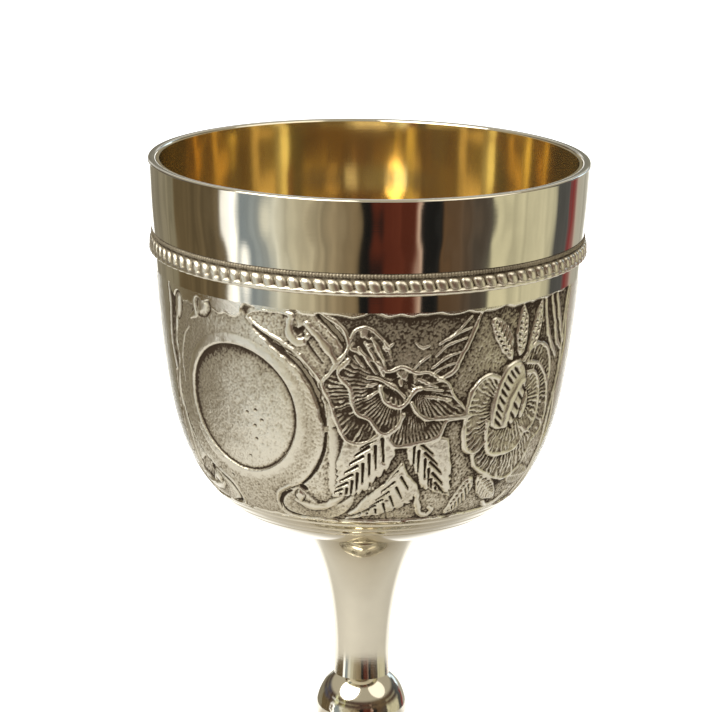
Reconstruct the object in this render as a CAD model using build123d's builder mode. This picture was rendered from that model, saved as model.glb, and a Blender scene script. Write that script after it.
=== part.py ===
"""Communion chalice: cast silvered cup with a gilt liner, trumpet stems, ball knop and domed foot.

All pieces stand in the chalice's own frame: +Z up, the origin at the centre of the foot's resting face,
millimetres. The front medallion of the cup faces -Y. A tie rod runs from the liner's stud to a nut under
the foot and clamps the stack. Threads are plain cylinders with a small clearance.
"""
import os
from math import cos, pi, radians, sin, sqrt

from build123d import *

# ---- driving dimensions (mm) ----
FOOT_HEIGHT = 31.0
STEM_HEIGHT = 30.8
CUP_HEIGHT = 73.0
BALL_RADIUS = 8.9
NECK_RADIUS = 5.5  # narrow end of both stems, and the flats of the ball

RIM_RADIUS = 42.5
LIP_ROUNDING = 0.35
CUP_SEAT_RADIUS = 13.0
CUP_WALL = 1.6
CUP_FLOOR = 2.5
LINER_GAP = 0.05
LINER_WALL = 0.6
LINER_SETBACK = 0.3  # the liner ends this far below the lip

FOOT_RADIUS = 45.0
FOOT_WALL = 1.6
CROWN_THICKNESS = 2.8
FOOT_RIM_HEIGHT = 2.4
FOOT_RIM_WIDTH = 2.4
FOOT_SEAT_RADIUS = 12.9

TRUMPET_RADIUS = 12.7  # wide end of both stems
STEM_BORE_RADIUS = 3.6
COUPLING_SPACE_RADIUS = 5.2
COUPLING_SPACE_DEPTH = 14.5

# beaded wires
BAND_HEIGHT = 4.3
BAND_DEPTH = 0.5
BEAD_RADIUS = 1.0
BEAD_RISE = 0.35  # bead centres outside the band's inner face
BEAD_PITCH = 2.48
LOWER_ROLL_RADIUS = 0.7
UPPER_ROLL_RADIUS = 0.4
CUP_BAND_DROP = 18.0  # rim down to the underside of the cup's beaded wire
CUP_BAND_RADIUS = 41.0
FOOT_BAND_BOTTOM = 6.3
FOOT_BAND_RADIUS = 39.0
BRAZE_GAP = 0.02  # between a brazed-on piece and the face it sits on

# M6 hardware
THREAD_RADIUS = 3.0
THREAD_GAP = 0.03
ROD_HOLE_RADIUS = 3.3
STUD_FLANGE_RADIUS = 8.0
STUD_FLANGE_THICKNESS = 1.2
STUD_LENGTH = 9.7
COUPLING_WIDTH = 8.0  # across flats
COUPLING_LENGTH = 12.0
COUPLING_DROP = 1.5  # seat of the cup down to the top of the coupling
NUT_WIDTH = 10.0
NUT_HEIGHT = 5.0
WASHER_RADIUS = 9.0
WASHER_THICKNESS = 1.6
SPRING_WASHER_RADIUS = 5.0
SPRING_WASHER_THICKNESS = 1.6
SPRING_WASHER_SLIT = 1.0
ROD_STICKOUT = 2.4
ROD_GAP = 0.6  # between the tie rod and the liner's stud, inside the coupling

# medallions of the cup
MEDALLION_DROP = 42.4  # rim down to their centres
MEDALLION_RADIUS = 13.0
MEDALLION_TILT = 8.0
MEDALLION_BEAD = 1.3
MEDALLION_RISE = 0.55

# ---- heights worked out from them ----
BALL_SEAT = sqrt(BALL_RADIUS**2 - NECK_RADIUS**2)
BALL_BOTTOM = FOOT_HEIGHT + STEM_HEIGHT
BALL_CENTRE = BALL_BOTTOM + BALL_SEAT
BALL_TOP = BALL_CENTRE + BALL_SEAT
CUP_SEAT = BALL_TOP + STEM_HEIGHT
RIM = CUP_SEAT + CUP_HEIGHT
CUP_INNER_FLOOR = CUP_SEAT + CUP_FLOOR
LINER_FLOOR = CUP_INNER_FLOOR + STUD_FLANGE_THICKNESS
CUP_BAND_BOTTOM = RIM - CUP_BAND_DROP
CROWN_UNDERSIDE = FOOT_HEIGHT - CROWN_THICKNESS
WASHER_BOTTOM = CROWN_UNDERSIDE - WASHER_THICKNESS
SPRING_WASHER_BOTTOM = WASHER_BOTTOM - SPRING_WASHER_THICKNESS
NUT_BOTTOM = SPRING_WASHER_BOTTOM - NUT_HEIGHT
COUPLING_TOP = CUP_SEAT - COUPLING_DROP
STUD_BOTTOM = CUP_INNER_FLOOR - STUD_LENGTH
ROD_TOP = STUD_BOTTOM - ROD_GAP
ROD_BOTTOM = NUT_BOTTOM - ROD_STICKOUT

MIN_MAX = (Align.MIN, Align.MAX)
MIN_MIN = (Align.MIN, Align.MIN)


# ---- shared profiles ----
def inset(curve, depth, steps=14):
    """Points of a profile that runs down towards the axis, moved in by a constant depth."""
    points = []
    for step in range(steps + 1):
        tangent = curve % (step / steps)
        points.append(curve @ (step / steps) + Vector(tangent.Y, -tangent.X) * depth)
    return points


def cup_curve(mode=Mode.ADD):
    """Outer face of the cup: a long tapering wall that turns in to the seat of the stem."""
    return Spline(
        (RIM_RADIUS, RIM),
        (41.95, RIM - 9.0),
        (41.2, RIM - 17.5),
        (40.6, RIM - 25.5),
        (38.9, RIM - 40.0),
        (36.2, RIM - 52.5),
        (30.4, RIM - 63.6),
        (21.8, RIM - 70.2),
        (CUP_SEAT_RADIUS, CUP_SEAT),
        tangents=[(-0.08, -1), (-1, -0.12)],
        mode=mode,
    )


def foot_curve(mode=Mode.ADD):
    """Outer face of the foot's dome, from the beaded wire up to the seat of the stem."""
    return Spline(
        (39.4, FOOT_BAND_BOTTOM + BAND_HEIGHT),
        (37.8, 15.2),
        (33.6, 21.2),
        (27.4, 26.0),
        (20.2, 29.3),
        (FOOT_SEAT_RADIUS, FOOT_HEIGHT),
        tangents=[(-0.16, 1), (-1, 0.14)],
        mode=mode,
    )


def bowl_section(depth, floor, top):
    """Half section of the space inside the cup's outer face, between two heights."""
    with BuildSketch() as section:
        with BuildLine():
            if depth:
                wall = Spline(*inset(cup_curve(Mode.PRIVATE), depth))
            else:
                wall = cup_curve()
            start, end = wall @ 0, wall @ 1
            Polyline(end, (0, end.Y), (0, RIM + 1), (start.X, RIM + 1), start)
        make_face()
        with Locations((0, floor)):
            Rectangle(2 * RIM_RADIUS, RIM, align=MIN_MAX, mode=Mode.SUBTRACT)
        with Locations((0, top)):
            Rectangle(2 * RIM_RADIUS, RIM, align=MIN_MIN, mode=Mode.SUBTRACT)
    return section.sketch


def beaded_wire(name, radius, bottom):
    """Band with a plain roll below, a fine roll above and a row of beads between them."""
    roll_radius = radius + BAND_DEPTH
    with BuildPart() as wire:
        with BuildSketch(Plane.XZ):
            with Locations((radius, bottom)):
                Rectangle(BAND_DEPTH, BAND_HEIGHT, align=MIN_MIN)
            with Locations((roll_radius, bottom + LOWER_ROLL_RADIUS)):
                Circle(LOWER_ROLL_RADIUS)
            with Locations((roll_radius, bottom + BAND_HEIGHT - UPPER_ROLL_RADIUS)):
                Circle(UPPER_ROLL_RADIUS)
            with Locations((radius, bottom - 1)):
                Rectangle(radius, BAND_HEIGHT + 2, align=(Align.MAX, Align.MIN), mode=Mode.SUBTRACT)
        revolve(axis=Axis.Z)
        free_height = BAND_HEIGHT - 2 * LOWER_ROLL_RADIUS - 2 * UPPER_ROLL_RADIUS
        bead_height = bottom + 2 * LOWER_ROLL_RADIUS + free_height / 2
        with Locations((0, 0, bead_height)):
            with PolarLocations(radius + BEAD_RISE, round(2 * pi * radius / BEAD_PITCH)):
                Sphere(BEAD_RADIUS)
        Cylinder(radius, 4 * RIM, mode=Mode.SUBTRACT)
    wire.part.label = name
    return wire


def trumpet_stem(name, wide_end, direction):
    """Hollow turned stem: `direction` is -1 where it narrows downwards and 1 where it narrows upwards."""
    narrow_end = wide_end + direction * STEM_HEIGHT
    with BuildPart() as stem:
        with BuildSketch(Plane.XZ):
            with BuildLine():
                flare = Spline(
                    (TRUMPET_RADIUS, wide_end),
                    (9.95, wide_end + direction * 3.5),
                    (8.4, wide_end + direction * 7.0),
                    (6.1, wide_end + direction * 16.2),
                    (5.38, wide_end + direction * 25.5),
                    (NECK_RADIUS, narrow_end),
                    tangents=[(-1, direction * 0.9), (0.05, direction)],
                )
                Polyline(flare @ 1, (0, narrow_end), (0, wide_end), flare @ 0)
            make_face()
        revolve(axis=Axis.Z)
        Cylinder(STEM_BORE_RADIUS, 4 * RIM, mode=Mode.SUBTRACT)
        with Locations((0, 0, wide_end + direction * COUPLING_SPACE_DEPTH / 2)):
            Cylinder(COUPLING_SPACE_RADIUS, COUPLING_SPACE_DEPTH, mode=Mode.SUBTRACT)
    stem.part.label = name
    return stem


# ---- cup ----
with BuildPart() as cup_shell:
    with BuildSketch(Plane.XZ):
        add(bowl_section(0, 0, RIM))
        add(bowl_section(CUP_WALL, CUP_INNER_FLOOR, RIM + 1), mode=Mode.SUBTRACT)
        with Locations((CUP_BAND_RADIUS, CUP_BAND_BOTTOM)):
            Rectangle(RIM_RADIUS, BAND_HEIGHT, align=MIN_MIN, mode=Mode.SUBTRACT)
    revolve(axis=Axis.Z)
    fillet(cup_shell.edges().group_by(Axis.Z)[-1], LIP_ROUNDING)
    with Locations((0, 0, CUP_SEAT)):
        Cylinder(ROD_HOLE_RADIUS, 4 * CUP_FLOOR, mode=Mode.SUBTRACT)
cup_shell.part.label = "cup_shell"

# two identical frames, brazed on opposite sides of the cup
with BuildPart() as medallion_frames:
    for side in (-1, 1):
        outward = Vector(0, side * cos(radians(MEDALLION_TILT)), -sin(radians(MEDALLION_TILT)))
        centre = Vector(0, 0, RIM - MEDALLION_DROP) + outward * MEDALLION_RADIUS
        with BuildSketch(Plane(origin=centre, z_dir=outward)):
            Circle(MEDALLION_RADIUS + MEDALLION_BEAD)
            Circle(MEDALLION_RADIUS, mode=Mode.SUBTRACT)
        extrude(amount=RIM_RADIUS)
    with BuildSketch(Plane.XZ):
        add(bowl_section(-MEDALLION_RISE, CUP_SEAT, RIM))
        add(bowl_section(-BRAZE_GAP, CUP_SEAT, RIM + 1), mode=Mode.SUBTRACT)
    revolve(axis=Axis.Z, mode=Mode.INTERSECT)
medallion_frames.part.label = "medallion_frames"

with BuildPart() as cup_liner:
    with BuildSketch(Plane.XZ):
        liner_top = RIM - LINER_SETBACK
        add(bowl_section(CUP_WALL + LINER_GAP, LINER_FLOOR, liner_top))
        add(
            bowl_section(CUP_WALL + LINER_GAP + LINER_WALL, LINER_FLOOR + LINER_WALL, RIM + 1),
            mode=Mode.SUBTRACT,
        )
    revolve(axis=Axis.Z)
cup_liner.part.label = "cup_liner"

with BuildPart() as liner_stud:
    with BuildSketch(Plane.XY.offset(CUP_INNER_FLOOR)):
        Circle(STUD_FLANGE_RADIUS)
    extrude(amount=STUD_FLANGE_THICKNESS)
    with BuildSketch(Plane.XY.offset(STUD_BOTTOM)):
        Circle(THREAD_RADIUS)
    extrude(amount=CUP_INNER_FLOOR - STUD_BOTTOM)
    chamfer(liner_stud.edges().group_by(Axis.Z)[0], 0.6)
liner_stud.part.label = "liner_stud"

cup_bead_ring = beaded_wire("cup_bead_ring", CUP_BAND_RADIUS + BRAZE_GAP, CUP_BAND_BOTTOM)


# ---- stems and knop ----
upper_stem = trumpet_stem("upper_stem", CUP_SEAT, -1)
lower_stem = trumpet_stem("lower_stem", FOOT_HEIGHT, 1)

with BuildPart() as knop:
    with Locations((0, 0, BALL_CENTRE)):
        Sphere(BALL_RADIUS)
        Cylinder(BALL_RADIUS, 2 * BALL_SEAT, mode=Mode.INTERSECT)
        Cylinder(STEM_BORE_RADIUS, 2 * BALL_RADIUS, mode=Mode.SUBTRACT)
knop.part.label = "knop"

# ---- foot ----
with BuildPart() as foot:
    with BuildSketch(Plane.XZ):
        with BuildLine():
            dome = foot_curve()
            crown = dome @ 1
            shoulder = dome @ 0
            band_foot = Line(shoulder, (shoulder.X, FOOT_BAND_BOTTOM))
            flare_end = (FOOT_RADIUS - 0.6, FOOT_RIM_HEIGHT)
            flare = Spline(band_foot @ 1, flare_end, tangents=[(0.35, -1), (1, -0.25)])
            Polyline(flare @ 1, (FOOT_RADIUS, FOOT_RIM_HEIGHT), (FOOT_RADIUS, 0), (0, 0), (0, crown.Y), crown)
        make_face()
        with BuildLine():
            inner_points = inset(foot_curve(Mode.PRIVATE), -FOOT_WALL)
            inside = Spline(*inner_points)
            skirt_radius = (inside @ 0).X
            rim_inner = FOOT_RADIUS - FOOT_RIM_WIDTH
            skirt = Line(inside @ 0, (skirt_radius, FOOT_BAND_BOTTOM - 0.5))
            spread = Spline(skirt @ 1, (rim_inner, 1.2), tangents=[(0.35, -1), (1, -0.4)])
            top = (inside @ 1).Y
            Polyline(spread @ 1, (rim_inner, 0), (0, 0), (0, top), inside @ 1)
        make_face(mode=Mode.SUBTRACT)
        with Locations((0, CROWN_UNDERSIDE)):
            Rectangle(FOOT_SEAT_RADIUS, CROWN_THICKNESS, align=MIN_MIN)
        with Locations((FOOT_BAND_RADIUS, FOOT_BAND_BOTTOM)):
            Rectangle(1, BAND_HEIGHT, align=MIN_MIN, mode=Mode.SUBTRACT)
    revolve(axis=Axis.Z)
    with Locations((0, 0, FOOT_HEIGHT)):
        Cylinder(ROD_HOLE_RADIUS, 4 * CROWN_THICKNESS, mode=Mode.SUBTRACT)
foot.part.label = "foot"

foot_bead_ring = beaded_wire("foot_bead_ring", FOOT_BAND_RADIUS + BRAZE_GAP, FOOT_BAND_BOTTOM)

# ---- tie rod and its fixings ----
with BuildPart() as stem_coupling:
    with BuildSketch(Plane.XY.offset(COUPLING_TOP - COUPLING_LENGTH)):
        RegularPolygon(COUPLING_WIDTH / 2, 6, major_radius=False)
        Circle(THREAD_RADIUS + THREAD_GAP, mode=Mode.SUBTRACT)
    extrude(amount=COUPLING_LENGTH)
stem_coupling.part.label = "stem_coupling"

with BuildPart() as tie_rod:
    with BuildSketch(Plane.XY.offset(ROD_BOTTOM)):
        Circle(THREAD_RADIUS)
    extrude(amount=ROD_TOP - ROD_BOTTOM)
    chamfer(tie_rod.edges().filter_by(GeomType.CIRCLE), 0.6)
tie_rod.part.label = "tie_rod"

with BuildPart() as foot_washer:
    with BuildSketch(Plane.XY.offset(WASHER_BOTTOM)):
        Circle(WASHER_RADIUS)
        Circle(ROD_HOLE_RADIUS, mode=Mode.SUBTRACT)
    extrude(amount=WASHER_THICKNESS)
    chamfer(foot_washer.edges().group_by(Axis.Z)[0].sort_by(SortBy.RADIUS)[-1], 0.3)
foot_washer.part.label = "foot_washer"

with BuildPart() as spring_washer:
    with BuildSketch(Plane.XY.offset(SPRING_WASHER_BOTTOM)):
        Circle(SPRING_WASHER_RADIUS)
        Circle(THREAD_RADIUS + 2 * THREAD_GAP, mode=Mode.SUBTRACT)
        with Locations(((SPRING_WASHER_RADIUS + THREAD_RADIUS) / 2, 0)):
            Rectangle(SPRING_WASHER_RADIUS, SPRING_WASHER_SLIT, rotation=20, mode=Mode.SUBTRACT)
    extrude(amount=SPRING_WASHER_THICKNESS)
spring_washer.part.label = "spring_washer"

with BuildPart() as foot_nut:
    with BuildSketch(Plane.XY.offset(NUT_BOTTOM)):
        RegularPolygon(NUT_WIDTH / 2, 6, major_radius=False)
    extrude(amount=NUT_HEIGHT)
    with BuildSketch(Plane.XZ):
        corner = NUT_WIDTH / sqrt(3)
        with BuildLine():
            Polyline(
                (0, NUT_BOTTOM),
                (NUT_WIDTH / 2 * 0.95, NUT_BOTTOM),
                (corner + 0.1, NUT_BOTTOM + 0.7),
                (corner + 0.1, NUT_BOTTOM + NUT_HEIGHT),
                (0, NUT_BOTTOM + NUT_HEIGHT),
                close=True,
            )
        make_face()
    revolve(axis=Axis.Z, mode=Mode.INTERSECT)
    Cylinder(THREAD_RADIUS + THREAD_GAP, 4 * RIM, mode=Mode.SUBTRACT)
foot_nut.part.label = "foot_nut"

pieces = [
    cup_shell,
    medallion_frames,
    cup_liner,
    liner_stud,
    cup_bead_ring,
    upper_stem,
    stem_coupling,
    knop,
    lower_stem,
    tie_rod,
    foot,
    foot_bead_ring,
    foot_washer,
    spring_washer,
    foot_nut,
]
os.makedirs("parts", exist_ok=True)
for piece in pieces:
    export_step(piece.part, f"parts/{piece.part.label}.step")
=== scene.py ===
"""Communion chalice: relief-cast silvered cup with a gilt liner, beaded wires, ball knop and domed foot.

Shapes are worked out in millimetres in the chalice's frame (+Z up, origin at the centre of the foot's
resting face, front medallion facing -Y) and scaled to metres when a mesh is made. Angles run round the
axis from the front medallion, in degrees, positive to the right of someone who faces it.
"""
from math import cos, hypot, pi, radians, sin

import bpy
import numpy as np
from mathutils import Matrix, Vector


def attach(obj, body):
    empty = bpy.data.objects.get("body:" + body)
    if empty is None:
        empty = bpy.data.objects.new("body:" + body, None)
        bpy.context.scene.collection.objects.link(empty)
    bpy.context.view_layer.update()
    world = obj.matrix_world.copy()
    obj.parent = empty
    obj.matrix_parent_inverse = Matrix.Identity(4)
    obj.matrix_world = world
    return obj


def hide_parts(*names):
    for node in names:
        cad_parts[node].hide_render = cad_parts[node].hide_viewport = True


MM = 0.001
rng = np.random.default_rng(7)

# ---- chalice (mm) ----
FOOT_TOP = 31.0
STEM_HEIGHT = 30.8
BALL_RADIUS = 8.9
NECK_RADIUS = 5.5
BORE_RADIUS = 3.6
COUPLING_SPACE = (5.2, 14.5)  # radius and depth of the wide part of the stems' bore
BALL_SEAT = (BALL_RADIUS**2 - NECK_RADIUS**2) ** 0.5
BALL_CENTRE = FOOT_TOP + STEM_HEIGHT + BALL_SEAT
CUP_SEAT = BALL_CENTRE + BALL_SEAT + STEM_HEIGHT
RIM = CUP_SEAT + 73.0
ROD_HOLE_RADIUS = 3.3
CUP_WALL = 1.6
CUP_FLOOR = 2.5
LIP_ROUNDING = 0.35
LINER_WALL = 0.6
LINER_GAP = 0.05
LINER_FLOOR = CUP_SEAT + CUP_FLOOR + 1.2
BAND_HEIGHT = 4.3  # beaded wires
CUP_BAND = (41.0, RIM - 18.0)  # radius and underside
FOOT_BAND = (39.0, 6.3)
RELIEF_TOP = RIM - 21.2
RELIEF_DEPTH = 45.0  # measured down the wall
LEAF_HEIGHT = 0.5
SLOT_DEPTH = 0.7  # of the cuts in the leaves
RELIEF_GAIN = 0.72  # real height for a painted height of 1
BUFFED = 0.16  # most that the relief stands above the polished face
RELIEF_SINK = 0.42  # the relief's ground lies this far below the polished face
SMOOTH_SINK = 0.02  # and its smooth fields this far
RECESS = 0.9  # bed of the relief in the walls of cup and foot
SKIN_GAP = 0.02  # between a slab of relief and its bed
WIDE, CLOSE = 1.1, 0.28  # spreads over which hollows darken
PLAIN_FIELD = (-72.6, -28.6)  # degrees, polished field left of the medallion
TURNED_LINES = (46.2, 48.4, 50.6)  # drops of the fine lines below the relief
MEDALLION_DROP = 21.3
MEDALLION_RADIUS = 13.0
FOOT_RADIUS = 45.0
FOOT_SEAT_RADIUS = 12.9
FOOT_FACE = 2.4  # width of the flat ring the chalice stands on
FOOT_EDGE = 2.4  # height of the upright edge above it
FOOT_WALL = 1.6
FOOT_RELIEF = (4.5, 26.0)  # start and depth, measured out along the dome
CROWN_UNDERSIDE = 28.2
ROD = (3.0, 17.6, 98.794)  # radius and ends of the tie rod
THREAD_PITCH = 1.0
THREAD_DEPTH = 0.5
THREAD_LENGTH = 13.0
BEAD_PITCH = 2.48
BEAD_COLUMNS = 16  # sections in each bead
WIRE_GAP = 0.02  # between a beaded wire and the wall behind it
BODY_COUNT = 384  # sections round cup, liner and foot
AXIS = 0.02  # radius that closes a section at the axis
BACK_ROWS = 12  # of a relief slab

# ---- camera ----
CAMERA_SIDE = 38.3  # angle of the camera round the axis
CAMERA_OFFSET = (-2.0, -639.3, 120.15)  # right, away and above the rim, mm
CAMERA_DOWN = 14.01
CAMERA_ROLL = 0.83
LENS = 171.44  # mm, as the sensor
SENSOR = 36.0

# ---- surroundings ----
TABLE_RADIUS = 0.245  # m
TABLE_COLOUR = (0.3, 0.29, 0.28, 1)
TABLE_GLOW = [(0.09, (0.44, 0.43, 0.41)), (0.15, 1.0)]  # metres behind the axis, painted light it gives off
TABLE_SHADOW = [(0.045, (0.42, 0.36, 0.27)), (0.12, 1.0)]  # metres from the axis, share of it left by a painted shadow round the foot
WALLS = [  # what stands round the chalice: degrees from the camera's side, colour
    (-180, 2.0), (-166, 2.0), (-160, (0.3, 0.27, 0.21)), (-125, (0.26, 0.23, 0.16)),
    (-121, (0.15, 0.11, 0.06)), (-84, (0.16, 0.12, 0.07)), (-81, 1.8), (-73, 1.8),
    (-71, (0.26, 0.31, 0.36)), (-58, (0.36, 0.39, 0.4)), (-53, (0.8, 0.79, 0.7)),
    (-42, (0.66, 0.61, 0.47)), (-28, (0.42, 0.36, 0.25)), (-5, (0.26, 0.19, 0.11)), (-3, 0.012),
    (5, 0.012), (7, (0.12, 0.03, 0.018)), (25, (0.13, 0.034, 0.02)), (28, (0.7, 0.5, 0.4)), (31, 0.015),
    (40, 0.02), (44, (0.13, 0.075, 0.04)), (70, (0.1, 0.09, 0.08)), (73, (0.66, 0.62, 0.44)),
    (112, (0.72, 0.68, 0.5)), (117, 0.09), (130, 0.1), (133, (0.3, 0.03, 0.035)),
    (143, (0.5, 0.48, 0.42)), (160, (0.55, 0.53, 0.46)), (166, 2.0), (180, 2.0),
]
CEILING = [  # what hangs over the chalice, as WALLS
    (-180, (0.24, 0.23, 0.2)), (-168, (0.14, 0.12, 0.08)), (-164, 0.8), (-157, 0.8),
    (-153, (0.2, 0.2, 0.2)), (-146, (0.15, 0.13, 0.1)), (-140, (0.09, 0.06, 0.05)),
    (-128, (0.11, 0.1, 0.1)), (-112, (0.1, 0.1, 0.14)), (-92, (0.09, 0.06, 0.05)),
    (-78, (0.11, 0.08, 0.06)), (-71, (0.9, 0.9, 0.6)), (-66, (0.9, 0.9, 0.6)),
    (-62, (0.16, 0.12, 0.07)), (-52, (0.18, 0.14, 0.08)), (-49, (0.5, 0.48, 0.25)),
    (-44, (0.5, 0.48, 0.25)), (-40, (0.11, 0.08, 0.06)), (-4, (0.1, 0.06, 0.05)),
    (16, (0.12, 0.08, 0.06)), (58, (0.17, 0.12, 0.07)), (100, (0.09, 0.06, 0.05)),
    (122, (0.1, 0.11, 0.12)), (136, (0.14, 0.15, 0.15)), (140, (1.3, 1.6, 1.9)), (150, (1.3, 1.6, 1.9)),
    (155, (0.5, 0.6, 0.8)), (163, (0.22, 0.22, 0.17)), (180, (0.24, 0.23, 0.2)),
]
SKY = (0.46, 0.42, 0.34)  # above the ceiling's strips
WOBBLE = 0.06  # share of a turn by which the strips' edges wander
CEILING_RISE = [(0.02, 0), (0.15, 1), (0.2, 1), (0.23, 0.6), (0.26, 0.6), (0.3, 1)]  # sine of height, share
SKY_RISE = [(0.36, 0), (0.46, 1)]


# ---- curves ----
def spline(points, start, end, step=0.4):
    """Cubic curve through the points, with the given directions at its ends."""
    p = np.array(points, float)
    gap = np.hypot(*np.diff(p, axis=0).T)
    chord = np.diff(p, axis=0) / gap[:, None]
    count = len(p)
    system = np.eye(count)
    known = np.zeros((count, 2))
    known[0] = np.array(start) / hypot(*start)
    known[-1] = np.array(end) / hypot(*end)
    for i in range(1, count - 1):
        system[i, i - 1:i + 2] = gap[i], 2 * (gap[i - 1] + gap[i]), gap[i - 1]
        known[i] = 3 * (gap[i] * chord[i - 1] + gap[i - 1] * chord[i])
    slope = np.linalg.solve(system, known)
    parts = []
    for i, length in enumerate(gap):
        t = np.arange(0, 1, min(0.2, step / length))[:, None]
        rest = (1 - t) ** 2
        parts.append(
            p[i] * (1 + 2 * t) * rest + slope[i] * length * t * rest
            + p[i + 1] * t**2 * (3 - 2 * t) + slope[i + 1] * length * t**2 * (t - 1)
        )
    return np.concatenate(parts + [p[-1:]])


def arc(centre, radius, first, last, steps=6):
    """Points of a circular arc; angles in degrees, anticlockwise from outwards."""
    turn = np.radians(np.linspace(first, last, steps + 1))
    return np.stack([centre[0] + radius * np.cos(turn), centre[1] + radius * np.sin(turn)], 1)


def lengths(line):
    """Length along a polyline at each of its points."""
    return np.concatenate([[0], np.cumsum(np.hypot(*np.diff(line, axis=0).T))])


def sideways(line):
    """Unit normal at each point of a polyline that runs down or outwards; it points away from the axis."""
    tangent = np.gradient(line, axis=0)
    tangent /= np.hypot(*tangent.T)[:, None]
    return np.stack([-tangent[:, 1], tangent[:, 0]], 1)


def along(line, where):
    """Points and normals of a polyline at given lengths."""
    reach, normal = lengths(line), sideways(line)
    picked = [[np.interp(where, reach, values[:, axis]) for axis in (0, 1)] for values in (line, normal)]
    return tuple(np.stack(pair, 1) for pair in picked)


def cut(line, high, low):
    """Part of a falling polyline between two heights."""
    reach = lengths(line)
    ends = np.interp([-high, -low], -line[:, 1], reach)
    inner = reach[(reach > ends[0] + 0.02) & (reach < ends[1] - 0.02)]
    return along(line, np.concatenate([ends[:1], inner, ends[1:]]))[0]


# ---- meshes ----
def link(thing):
    """Adds an object to the scene."""
    bpy.context.scene.collection.objects.link(thing)
    return thing


def sweep(name, sections, ring, v=None, creases=None, values=None):
    """Mesh from cross sections (angle, point, xyz): a full ring, or a sector closed by two end faces."""
    columns, size = sections.shape[:2]
    mesh = bpy.data.meshes.new(name)
    steps = columns if ring else columns - 1
    i, j = np.meshgrid(np.arange(steps), np.arange(size), indexing="ij")
    i2, j2 = (i + 1) % columns, (j + 1) % size
    quads = np.stack([i * size + j, i2 * size + j, i2 * size + j2, i * size + j2], -1).reshape(-1, 4)
    first = np.arange(size)
    caps = [] if ring else [first, first[::-1] + (columns - 1) * size]
    corners = np.concatenate([quads.ravel(), *caps]).astype(np.int32)
    sizes = [4] * len(quads) + [size] * len(caps)
    starts = np.concatenate([[0], np.cumsum(sizes)[:-1]]).astype(np.int32)
    mesh.vertices.add(columns * size)
    mesh.vertices.foreach_set("co", (sections.reshape(-1) * MM).astype(np.float32))
    mesh.loops.add(len(corners))
    mesh.loops.foreach_set("vertex_index", corners)
    mesh.polygons.add(len(sizes))
    mesh.polygons.foreach_set("loop_start", starts)
    mesh.update(calc_edges=True)

    # own unwrapping, angle against length of the section
    mean = np.stack([np.hypot(sections[..., 0], sections[..., 1]).mean(0), sections[..., 2].mean(0)], 1)
    if v is None:
        v = lengths(np.concatenate([mean, mean[:1]]))
        v = v / v[-1]
    across, up = np.arange(steps + 1) / steps, np.append(v, 1.0)[:size + 1]
    u_quad = np.stack([across[i], across[i + 1], across[i + 1], across[i]], -1).reshape(-1)
    v_quad = np.stack([up[j], up[j], up[j + 1], up[j + 1]], -1).reshape(-1)
    uv = 0.01 + 0.97 * np.stack([u_quad, v_quad], 1)
    uv = np.concatenate([uv, np.full((len(corners) - len(uv), 2), 0.995)])
    mesh.uv_layers.new(name="OFBake").uv.foreach_set("vector", uv.ravel().astype(np.float32))

    # edges between faces that meet at an angle
    if creases is None:
        turn = np.diff(np.concatenate([mean[-1:], mean, mean[:1]]), axis=0)
        turn /= np.maximum(np.hypot(*turn.T), 1e-9)[:, None]
        creases = (turn[1:] * turn[:-1]).sum(1) < cos(radians(28))
    ends = np.zeros(len(mesh.edges) * 2, np.int32)
    mesh.edges.foreach_get("vertices", ends)
    a, b = ends.reshape(-1, 2).T
    sharp = (a % size == b % size) & creases[a % size]
    if not ring:
        sharp |= (a // size == b // size) & ((a // size == 0) | (a // size == columns - 1))
    mesh.attributes.new("sharp_edge", "BOOLEAN", "EDGE").data.foreach_set("value", sharp)
    for label, field in (values or {}).items():
        layer = mesh.attributes.new(label, "FLOAT", "POINT")
        layer.data.foreach_set("value", field.reshape(-1).astype(np.float32))
    return link(bpy.data.objects.new(name, mesh))


def turned(section, degrees):
    """Cross sections of (radius, height) points at the given angles; a section may differ per angle."""
    section = np.asarray(section)
    if section.ndim == 2:
        section = np.broadcast_to(section, (len(degrees), *section.shape))
    turn = np.radians(degrees)[:, None]
    radius = section[..., 0]
    return np.stack([radius * np.sin(turn), -radius * np.cos(turn), section[..., 1]], -1)


def lathe(name, *parts, count=256):
    """Turned piece from the parts of its closed half section, listed anticlockwise."""
    section = np.concatenate([np.array(part, float).reshape(-1, 2) for part in parts])
    degrees = 360 * np.arange(count) / count
    return sweep(name, turned(section, degrees), ring=True)


def place(thing, material, slot, *nodes):
    """Gives a new piece its material, puts it under the root body and hides the CAD nodes that it stands for.
    """
    thing.data.materials.append(material)
    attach(thing, "root")
    if nodes:
        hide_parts(*nodes)


# ---- relief ----
BORDER = [  # broad stippled border of the medallion and the scrolls, as (degrees, drop)
    (5.5, 2.2), (8.5, 4.8), (14, 7.4), (19, 10.2), (23, 13.8), (25.3, 18), (26.6, 22.5), (26.4, 27),
    (24.3, 31), (20.5, 34.5), (15.5, 36.8), (11, 38.8), (9, 41.5), (9.2, 45), (-9.2, 45), (-9, 41.5),
    (-11, 38.8), (-15.5, 36.8), (-20.5, 34.5), (-26.4, 36), (-27, 31), (-28, 22), (-26, 14), (-26, 10),
    (-25, 6), (-23, 1), (-15, 0), (0, 0),
]
# small pits in the medallion
PITS = [
    (2.5, 21.5), (5.4, 20.9), (7.3, 22.7), (4.8, 24), (4.8, 26.8), (1.4, 30.8), (13.7, 29.2), (-8.4, 36.3),
]


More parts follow.
